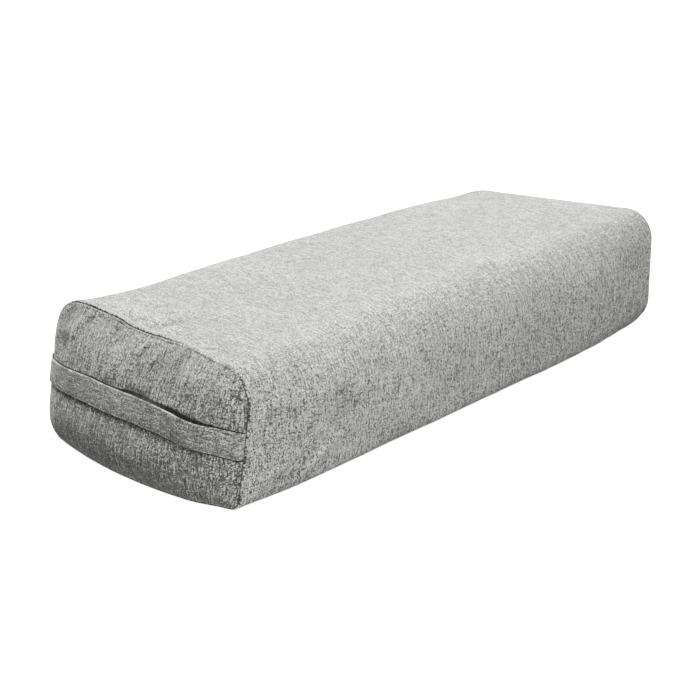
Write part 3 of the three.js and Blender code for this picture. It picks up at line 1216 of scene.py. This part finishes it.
@dataclass
class EndPanel(SewnPiece):
    """A panel of cloth over one end of the filling, rolled into the seam all round."""

    form: CushionForm
    roll: SeamRoll
    shift: float
    end: EndShape
    node: str
    relief: Relief
    strap: StrapLine | None = None
    patch: Patch = Patch(rows=96, columns=172)
    clearance: float = 0.5

    def ring(self) -> Array:
        """Points of the end seam."""
        return self.form.wrap(self.end, 0.0, self.patch.places(), self.roll.depth)

    def outer(self) -> tuple[Array, Array]:
        """The outer surface.

        Returns:
            Points of the roll, row by row from the seam, and of the grid inside it.
        """
        ring = self.ring()
        tangent = unit(np.roll(ring, -1, axis=0) - np.roll(ring, 1, axis=0))
        sideways = unit(np.cross(tangent, [1.0, 0.0, 0.0]))
        outward = np.array([float(self.end.side), 0.0, 0.0])
        rise, run = self.roll.profile()
        rolled = ring + rise[:, None, None] * outward - run[:, None, None] * sideways
        across, up = self.patch.grid()
        face = self.patch.span(rolled[-1])
        face[..., 0] += self.end.side * self.form.bulge(self.end, across, up, face[..., 2])
        return rolled, face

    def mesh(self) -> ClothMesh:
        """Gathers the piece's mesh.

        Returns:
            The mesh, ready to build.
        """
        mesh = ClothMesh(self.node.replace("end_panel", "panel"), self.shift)
        rolled, face = self.outer()
        across, up = self.patch.grid()
        relief = panel_lift(self.end, self.relief, across, up)
        face[..., 0] += self.end.side * relief
        flip = self.end is NEAR
        # Painted shade on the roll into the seam
        shades = fade(1 - np.linspace(0, 1, len(rolled)), 0.0, 1.0)
        # Painted shadow on the panel round the strap's edges
        cover = self.strap.closeness(across, up, self.end.height) if self.strap else 0 * up
        shade = shades[:, None] * self.end.seam_share(self.patch.places()) ** 2
        rim = self.patch.rim()
        rings = mesh.add(rolled, seam_shade=shade, strap_closeness=cover[rim])
        grid = np.full(across.shape, -1)
        inner = slice(1, -1), slice(1, -1)
        # The folds' height also paints shade in hollows and light on raised folds
        grid[inner] = mesh.add(face[inner], strap_closeness=cover[inner], fold_height=relief[inner])
        grid[rim] = rings[-1]
        mesh.cover(grid, face[..., 1:], flip)
        around, cloth = closed(rings), closed(rolled)[..., 1:]
        mesh.cover(around, cloth, flip)
        under = self.patch.span(self.ring())
        lift = self.form.bulge(self.end, across, up, under[..., 2]) + relief + self.clearance
        under[..., 0] += self.end.side * lift
        inside = mesh.add(under)
        mesh.cover(inside, under[..., 1:], not flip)
        joint = np.concatenate([closed(inside[rim][None]), around[:1]])
        mesh.cover(joint, np.stack([cloth[0], cloth[0]]), flip)
        return mesh

    def declare(self, piece: bpy.types.Object) -> None:
        """Takes no step: nothing is told to the frame about the panel."""


@dataclass
class HandleStrap(SewnPiece):
    """The carrying strap: a folded band across the near panel, held in both side seams."""

    panel: EndPanel
    line: StrapLine
    node: str = "handle_strap"
    height: float = 25.5
    lower_stand_off: float = 0.4
    upper_stand_off: float = 2.4
    gap_place: float = -0.45
    gap_half_size: float = 0.3
    gap_stand_off: float = 2.0
    cloth: float = 1.6
    end_cloth: float = 1.0
    end_thinning: float = 0.1
    end_fit: float = 0.35
    end_bend: float = 2.1
    # Depth of the painted shade where the strap's ends roll into the side seams
    painted_end_shade: float = 0.8
    clearance: float = 0.25
    steps: int = 170
    face_steps: int = 30
    stitch_inset: float = 2.6
    stitch_dent: float = 0.22
    stitch_dent_size: float = 0.05
    stitch_depth: float = 0.9
    stitch_reach: float = 0.985
    middle_puff: float = 0.12
    middle_puff_size: float = 0.6

    def section(self) -> tuple[Array, Array]:
        """The band's closed section.

        Returns:
            Places up the band, from -1 to 1, and depths through it, from 0 to 1.
        """
        edge_round = self.cloth / self.height
        turn = np.linspace(-math.pi / 2, math.pi / 2, 7)
        top_up, top_depth = 1 - edge_round * (1 - np.cos(turn)), (np.sin(turn) + 1) / 2
        face = np.linspace(1, -1, self.face_steps)[1:-1] * (1 - edge_round)
        up = np.concatenate([top_up, face, -top_up[::-1], -face])
        stitch = -1 + 2 * self.stitch_inset / self.height
        outer = 1 - self.stitch_dent * bump(face - stitch, self.stitch_dent_size)
        outer = outer + self.middle_puff * bump(face, self.middle_puff_size)
        depth = np.concatenate([top_depth, outer, top_depth[::-1], np.zeros(len(face))])
        return up, depth

    def rows(self) -> tuple[Array, Array, Array]:
        """Where the band's rows of points lie.

        Returns:
            Places along the band, from -1 to 1, and the two shares of the roll into its seam.
        """
        rise, run = self.panel.roll.profile()
        reach = run[-1] * 2 * self.end_bend / self.panel.end.width
        along = np.pad(np.linspace(-1 + reach, 1 - reach, self.steps), len(rise) - 1, mode="edge")
        shares = (part[:-1] / part[-1] for part in (rise, run))
        return along, *(np.concatenate([share, np.ones(self.steps), share[::-1]]) for share in shares)

    def band_points(self, along: Array, up_band: Array, depth: Array, rise: Array, run: Array) -> Array:
        """Points of the band, over the panel and rolled into the side seams at its ends.

        Args:
            along: place along the band, from -1 to 1.
            up_band: place up the band, from -1 to 1.
            depth: share of the band's thickness, from 0 against the panel to 1 outside.
            rise: share of the height that is left in the roll into the seam.
            run: share of the way in from the seam that is left in the roll.

        Returns:
            Points with the last axis x, y and z.
        """
        form, end, seam_depth = self.panel.form, self.panel.end, self.panel.roll.depth
        upper_edge, lower_edge = self.line.edges(along)
        up = mix(lower_edge, upper_edge, (up_band + 1) / 2)
        slack = fade(1 - np.abs(along), 0.0, self.end_fit)
        upper = self.upper_stand_off + self.gap_stand_off * bump(along - self.gap_place, self.gap_half_size)
        stand_off = mix(self.lower_stand_off, upper, (up_band + 1) / 2) * slack
        thickness = mix(self.end_cloth, self.cloth, fade(1 - np.abs(along), 0.0, self.end_thinning))
        seam = lambda place: form.wrap(end, 0.0, place, seam_depth)
        u, v = (along + 1) / 2, (up + 1) / 2
        front, back = seam(4 - v), seam(1 + v)
        corners = tuple(seam(np.float64(place)) for place in range(4))
        flat = four_sided((seam(u), back, seam(3 - u), front), corners, u[..., None], v[..., None])
        lumps = np.maximum(panel_lift(end, self.panel.relief, along, up), 0.0)
        height = self.clearance + stand_off + thickness * depth
        lift = form.bulge(end, along, up, flat[..., 2]) + seam_depth + height + lumps
        edge = np.where((along < 0)[..., None], front, back)
        points = edge + (flat - edge) * run[..., None]
        points[..., 0] = mix(edge[..., 0], flat[..., 0] + end.side * lift, rise)
        return points

    def mesh(self) -> ClothMesh:
        """Gathers the piece's mesh.

        Returns:
            The mesh, ready to build.
        """
        up_band, depth = self.section()
        along, rise, run = self.rows()
        layout = np.broadcast_arrays(along[:, None], up_band[None], depth[None], rise[:, None], run[:, None])
        points = self.band_points(*layout)
        mesh = ClothMesh("carrying_strap", self.panel.shift)
        # Painted shade where the strap's ends roll into the side seams
        ring = closed(mesh.add(points, seam_shade=fade(1 - rise, 0.3, 1.0)[:, None] * self.painted_end_shade))
        girth = distances(np.append(up_band, up_band[0])[:, None]) * self.height / 2
        length = distances(points.mean(axis=1))
        cloth = np.stack(np.broadcast_arrays(length[:, None], girth[None]), -1)
        mesh.cover(ring, cloth)
        for row, flip in ((0, True), (-1, False)):
            middle = mesh.add(points[row].mean(axis=0, keepdims=True))
            fan = np.stack([ring[row], np.full(ring.shape[1], middle[0])])
            mesh.cover(fan, np.stack([cloth[row], cloth[row]]), flip)
        return mesh

    def declare(self, piece: bpy.types.Object) -> None:
        """Takes no step: nothing is told to the frame about the strap."""

    def stitch_line(self) -> Array:
        """The line of the topstitch, on the band's outer face.

        Returns:
            Points along it, in millimetres of the drawn form.
        """
        along = np.linspace(-self.stitch_reach, self.stitch_reach, 300)
        level = np.full(len(along), -1 + 2 * self.stitch_inset / self.height)
        full = np.ones(len(along))
        return self.band_points(along, level, full * self.stitch_depth, full, full)


class Stitching:
    """Geometry nodes that lay one stitch after another along a line of points."""

    INPUTS = {
        "Stitch Length": ("Float", 0.0026),
        "Stitch Pitch": ("Float", 0.0033),
        "Thread Radius": ("Float", 0.00032),
        "Sway": ("Float", 0.06),
        "Seed": ("Int", 11),
        "Thread": ("Material", None),
    }

    def __init__(self) -> None:
        """Builds the tree once."""
        inputs = {"Line": ("Geometry", None)} | self.INPUTS
        self.tree = start_group("row_of_stitches", "GeometryNodeTree", inputs, {"Stitches": "Geometry"})
        self.write(NodeWriter(self.tree))

    def write(self, nodes: NodeWriter) -> None:
        """Fills the tree.

        Args:
            nodes: the writer on the tree.
        """
        given = nodes.add("NodeGroupInput").outputs
        curve = nodes.add("GeometryNodeMeshToCurve", {"Mesh": given["Line"]})
        steps = {"Curve": curve.outputs[0], "Length": given["Stitch Pitch"]}
        spaced = nodes.add("GeometryNodeResampleCurve", steps, mode="LENGTH")
        bead = nodes.add("GeometryNodeMeshUVSphere", {"Segments": 8, "Rings": 6, "Radius": 1.0})
        half = nodes.math("DIVIDE", given["Stitch Length"], 2.0)
        size = nodes.vector(half, given["Thread Radius"], given["Thread Radius"])
        stitch = nodes.add("GeometryNodeTransform", {"Geometry": bead.outputs[0], "Scale": size})
        tangent = nodes.add("GeometryNodeInputTangent")
        facing = nodes.add("FunctionNodeAlignRotationToVector", {"Vector": tangent.outputs[0]}, axis="X")
        low, high = nodes.math("MULTIPLY", given["Sway"], -1.0), given["Sway"]
        limits = {"Min": nodes.vector(low, low, low), "Max": nodes.vector(high, high, high)}
        limits["Seed"] = given["Seed"]
        sway = nodes.add("FunctionNodeRandomValue", limits, data_type="FLOAT_VECTOR")
        turns = {"Rotation": facing.outputs[0], "Rotate By": sway.outputs[0]}
        turned = nodes.add("FunctionNodeRotateRotation", turns, rotation_space="LOCAL")
        row = {"Points": spaced.outputs[0], "Instance": stitch.outputs[0], "Rotation": turned.outputs[0]}
        placed = nodes.add("GeometryNodeInstanceOnPoints", row)
        real = nodes.add("GeometryNodeRealizeInstances", {"Geometry": placed.outputs[0]})
        smooth = nodes.add("GeometryNodeSetShadeSmooth", {"Geometry": real.outputs[0]})
        finish = {"Geometry": smooth.outputs[0], "Material": given["Thread"]}
        dressed = nodes.add("GeometryNodeSetMaterial", finish)
        nodes.add("NodeGroupOutput", {"Stitches": dressed.outputs[0]})

    def sew(self, name: str, line: Array, thread: bpy.types.Material) -> bpy.types.Object:
        """Lays stitches along a line and turns them into a plain mesh.

        Args:
            name: the piece's name.
            line: points of the line, in metres.
            thread: the thread's material.

        Returns:
            The finished object.
        """
        mesh = bpy.data.meshes.new(name + "_line")
        mesh.from_pydata(line.tolist(), [(i, i + 1) for i in range(len(line) - 1)], [])
        guide = place_object(name + "_line", mesh)
        modifier = guide.modifiers.new("stitches", "NODES")
        modifier.node_group = self.tree
        identifiers = {item.name: item.identifier for item in self.tree.interface.items_tree}
        for key, (_, value) in self.INPUTS.items():
            modifier[identifiers[key]] = thread if value is None else value
        evaluated = guide.evaluated_get(bpy.context.evaluated_depsgraph_get())
        stitches = bpy.data.meshes.new_from_object(evaluated)
        stitches.name = name
        bpy.data.objects.remove(guide)
        return place_object(name, stitches)


@dataclass(frozen=True)
class SoftBox:
    """One square soft light near the cushion, turned to its middle."""

    name: str
    place: tuple[float, float, float]
    side: float
    power: float

    def build(self) -> None:
        """Makes the light."""
        data = bpy.data.lights.new(self.name, "AREA")
        data.shape, data.size, data.energy = "SQUARE", self.side, self.power
        lamp = place_object(self.name, data)
        lamp.location = self.place
        lamp.rotation_mode = "QUATERNION"
        lamp.rotation_quaternion = (-Vector(self.place)).to_track_quat("-Z", "Y")
        lamp.visible_camera = False


@dataclass(frozen=True)
class Studio:
    """Pale floor, soft lights and the camera."""

    azimuth: float = -47.32
    elevation: float = 20.77
    distance: float = 1.412
    focal_length: float = 72.1
    aim: tuple[float, float, float] = (-0.0218, 0.0105, 0.0309)
    floor_half: float = 60.0
    floor_colour: tuple[float, float, float] = (0.93, 0.93, 0.93)
    floor_glow: float = 1.0
    light_from_above: float = 0.0
    light_from_below: float = 0.16
    tones: tuple[tuple[float, float], ...] = (
        (0.0, 0.0), (0.0091, 0.009), (0.0227, 0.0294), (0.0455, 0.0725), (0.0955, 0.19),
        (0.159, 0.35), (0.227, 0.45), (0.364, 0.6), (0.545, 0.735), (1.0, 1.0),
    )
    lights: tuple[SoftBox, ...] = (
        SoftBox("far_box", (1.2, 0.0, 1.0), 0.9, 6.8),
        SoftBox("back_box", (0.1, 1.4, 1.2), 1.2, 32.5),
        SoftBox("front_box", (-0.3, -0.55, 0.85), 0.6, 3.25),
        SoftBox("near_box", (-0.3, -0.25, 0.8), 0.6, 0.5),
        SoftBox("corner_box", (-0.7, -0.9, 0.25), 0.5, 1.55),
    )

    def build(self) -> None:
        """Sets up the floor, the world, the picture's tones, the lights and the camera."""
        self.floor()
        self.world()
        self.film()
        for light in self.lights:
            light.build()
        self.camera()

    def floor(self) -> None:
        """Makes the plain pale floor."""
        half = self.floor_half
        mesh = bpy.data.meshes.new("floor")
        corners = [(-half, -half, 0.0), (half, -half, 0.0), (half, half, 0.0), (-half, half, 0.0)]
        mesh.from_pydata(corners, [], [(0, 1, 2, 3)])
        made = place_object("floor", mesh)
        material, nodes = start_material("floor_paper")
        nodes.surface({
            "Base Color": (*self.floor_colour, 1.0), "Roughness": 1.0, "Specular IOR Level": 0.0,
            "Emission Color": (1.0, 1.0, 1.0, 1.0), "Emission Strength": self.floor_glow,
        })
        mesh.materials.append(material)
        made.visible_diffuse = False
        made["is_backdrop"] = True

    def world(self) -> None:
        """Sets an even pale surround and plain colour handling."""
        world = bpy.data.worlds.new("surround")
        world.use_nodes = True
        nodes = NodeWriter(world.node_tree)
        direction = nodes.add("ShaderNodeTexCoord").outputs["Generated"]
        height = nodes.add("ShaderNodeSeparateXYZ", {0: direction}).outputs["Z"]
        share = nodes.math("ADD", height, 1.0, clamp=True)
        rise = self.light_from_above - self.light_from_below
        strength = nodes.math("MULTIPLY_ADD", share, rise, self.light_from_below)
        world.node_tree.links.new(strength, world.node_tree.nodes["Background"].inputs["Strength"])
        world.node_tree.nodes["Background"].inputs["Color"].default_value = (1.0, 1.0, 1.0, 1.0)
        bpy.context.scene.world = world
        bpy.context.scene.view_settings.view_transform = "Standard"

    def film(self) -> None:
        """Bends the picture's tones as film does: firm in the darks and soft in the lights."""
        view = bpy.context.scene.view_settings
        view.use_curve_mapping = True
        points = view.curve_mapping.curves[3].points
        points[0].location, points[1].location = self.tones[0], self.tones[-1]
        for light, shown in self.tones[1:-1]:
            points.new(light, shown)
        view.curve_mapping.update()

    def camera(self) -> None:
        """Makes the camera and looks along the photograph's direction."""
        turn, rise = math.radians(self.azimuth), math.radians(self.elevation)
        back = Vector((math.sin(turn) * math.cos(rise), -math.cos(turn) * math.cos(rise), math.sin(rise)))
        data = bpy.data.cameras.new("camera")
        data.lens = self.focal_length
        made = place_object("camera", data)
        made.location = Vector(self.aim) + back * self.distance
        made.rotation_mode = "QUATERNION"
        made.rotation_quaternion = (-back).to_track_quat("-Z", "Y")
        bpy.context.scene.camera = made


def frame_shift(form: CushionForm, roll: SeamRoll) -> float:
    """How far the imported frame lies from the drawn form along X, in millimetres.

    Args:
        form: the drawn form.
        roll: the seam's roll.

    Returns:
        The shift, from the far end's furthest point.
    """
    patch = Patch(rows=14, columns=28)
    across, up = patch.grid()
    reach = patch.span(form.wrap(FAR, 0.0, patch.places(), roll.depth))
    drawn = (reach[..., 0] + form.bulge(FAR, across, up, reach[..., 2])).max()
    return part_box("filled_wrap")[1].x / MM - drawn


def write_size() -> None:
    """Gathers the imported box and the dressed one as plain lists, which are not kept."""
    boxes = {"cad": CAD_BOX, "visual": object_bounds()}
    plain = {name: [list(corner) for corner in box] for name, box in boxes.items()}


def main() -> None:
    """Builds every piece of the cushion and the studio round it."""
    logging.basicConfig(level=logging.INFO, format="%(name)s: %(message)s")
    form, roll, weave = CushionForm(), SeamRoll(), WeaveGroup()
    shift = frame_shift(form, roll)
    LOG.info("the frame lies %.3f mm along X from the drawn form", shift)
    wrap_finish = ClothFinish(
        "wrap_cloth", YarnRun.UP_THE_MAP, tone=0.46,
        yarn_contrast=1.8, fleck_contrast=2.4, slub_contrast=1.0,
    )
    # The wrap, panels and strap are one cloth; the panels' lower tone, and the strap's slightly lower one,
    # are painted shade on the end
    panel_finish = ClothFinish("panel_cloth", YarnRun.UP_THE_MAP, tone=0.37, fold_painted_shading=0.15)
    strap_finish = ClothFinish(
        "strap_cloth", YarnRun.ALONG_THE_MAP, tone=0.43,
        yarn_contrast=0.95, fleck_contrast=1.3, slub_contrast=0.65,
    )
    FilledWrap(form, roll, shift).build(wrap_finish, weave)
    near = EndPanel(form, roll, shift, NEAR, "end_panel_near", NEAR_PANEL_RELIEF, StrapLine())
    near.build(panel_finish, weave)
    EndPanel(form, roll, shift, FAR, "end_panel_far", FAR_PANEL_RELIEF).build(panel_finish, weave)
    strap = HandleStrap(near, StrapLine())
    strap.build(strap_finish, weave)
    line = (strap.stitch_line() + np.array([shift, 0.0, 0.0])) * MM
    thread = ThreadFinish().material()
    stitches = Stitching().sew("strap_topstitch", line, thread)
    finish_piece(stitches, thread, "strap_cloth")
    Studio().build()
    write_size()


if __name__ == "__main__":
    main()
